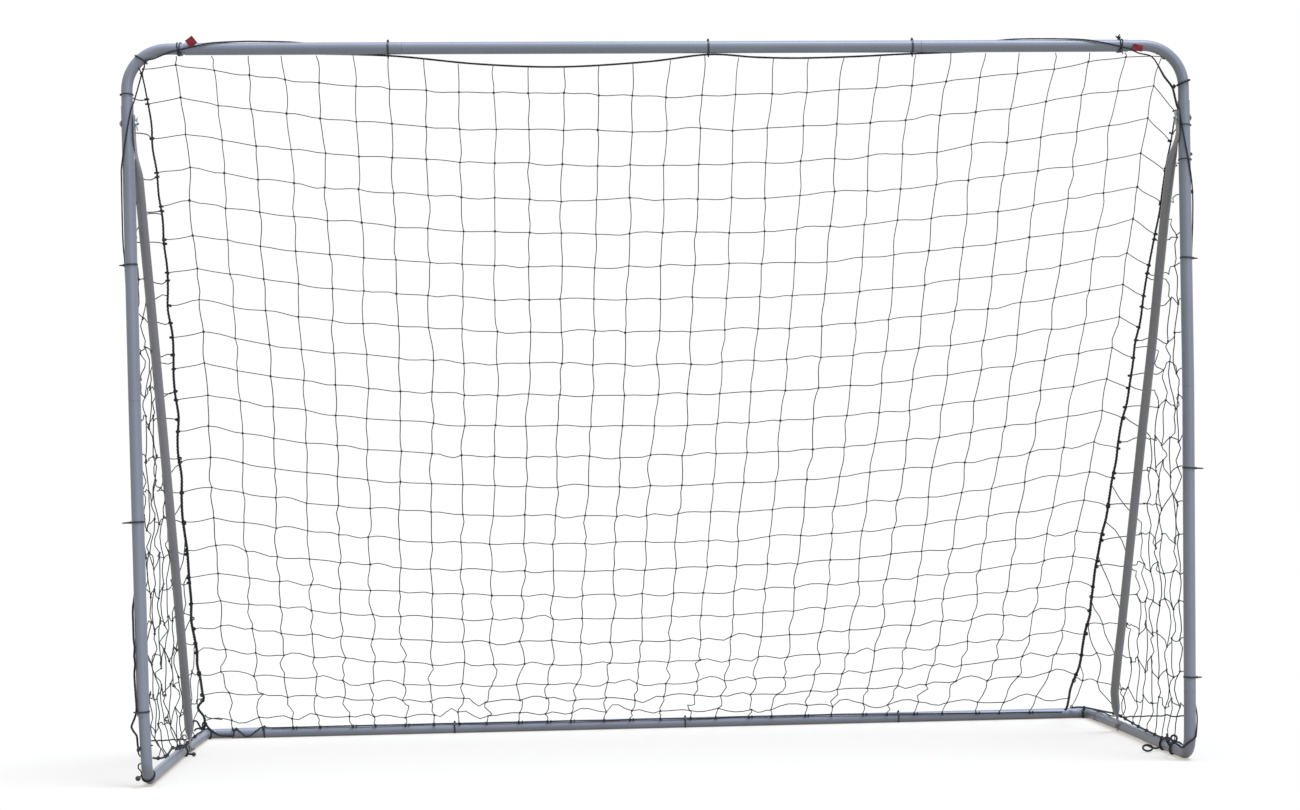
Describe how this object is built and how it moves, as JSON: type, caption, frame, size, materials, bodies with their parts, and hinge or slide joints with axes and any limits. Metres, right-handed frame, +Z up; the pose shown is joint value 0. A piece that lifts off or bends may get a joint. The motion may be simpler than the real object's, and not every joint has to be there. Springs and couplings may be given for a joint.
{
  "type": "soccer goal",
  "caption": "Freestanding soccer goal: bolted tube frame with rounded corners, sloping side struts and a knotted net held by cords and ties.",
  "frame": {"origin": "on the ground under the middle of the goal, midway between the posts and midway between the posts and the rear ground bar", "axes": "+X along the crossbar to the right as a player facing the mouth sees it, +Y from the mouth back to the rear bar, +Z up"},
  "size_m": [3.0894, 1.214, 2.0781],
  "materials": {
    "frame_steel": "grey powder coat",
    "fastener": "dark plated steel",
    "net_twine": "dark olive black knotted twine",
    "cord": "black braided cord and elastic",
    "tie_plastic": "black nylon ties",
    "tag_cloth": "plain red cloth"
  },
  "bodies": {
    "root": {"crossbar_left": "frame_steel", "crossbar_middle": "frame_steel", "crossbar_right": "frame_steel", "corner_bend_left": "frame_steel", "corner_bend_right": "frame_steel", "post_upper_left": "frame_steel", "post_upper_right": "frame_steel", "post_lower_left": "frame_steel", "post_lower_right": "frame_steel", "foot_bend_left": "frame_steel", "foot_bend_right": "frame_steel", "side_tube_left": "frame_steel", "side_tube_right": "frame_steel", "rear_bend_left": "frame_steel", "rear_bend_right": "frame_steel", "rear_bar_left": "frame_steel", "rear_bar_middle": "frame_steel", "rear_bar_right": "frame_steel", "strut_left": "frame_steel", "strut_right": "frame_steel", "top_bolt_left": "fastener", "top_bolt_right": "fastener", "wing_nut_left": "fastener", "wing_nut_right": "fastener", "foot_bolt_left": "fastener", "foot_bolt_right": "fastener", "foot_nut_left": "fastener", "foot_nut_right": "fastener", "rear_screw_left": "fastener", "rear_screw_right": "fastener", "net_back_upper": "net_twine", "net_back_lower": "net_twine", "net_side_left": "net_twine", "net_side_right": "net_twine", "top_rope": "cord", "seam_rope_left": "cord", "seam_rope_right": "cord", "mouth_cord_left": "cord", "mouth_cord_right": "cord", "rear_rope": "cord", "side_rope_left": "cord", "side_rope_right": "cord", "elastic_top_left": "cord", "elastic_top_right": "cord", "elastic_foot_left": "cord", "tie_post_left_1": "tie_plastic", "tie_post_left_2": "tie_plastic", "tie_post_left_3": "tie_plastic", "tie_post_right_1": "tie_plastic", "tie_post_right_2": "tie_plastic", "tie_post_right_3": "tie_plastic", "tie_top_1": "tie_plastic", "tie_top_2": "tie_plastic", "tie_top_3": "tie_plastic", "tie_rear_1": "tie_plastic", "tie_rear_2": "tie_plastic", "tie_rear_3": "tie_plastic", "tie_rear_4": "tie_plastic", "tag_left": "tag_cloth", "tag_right": "tag_cloth"}
  },
  "joints": []
}
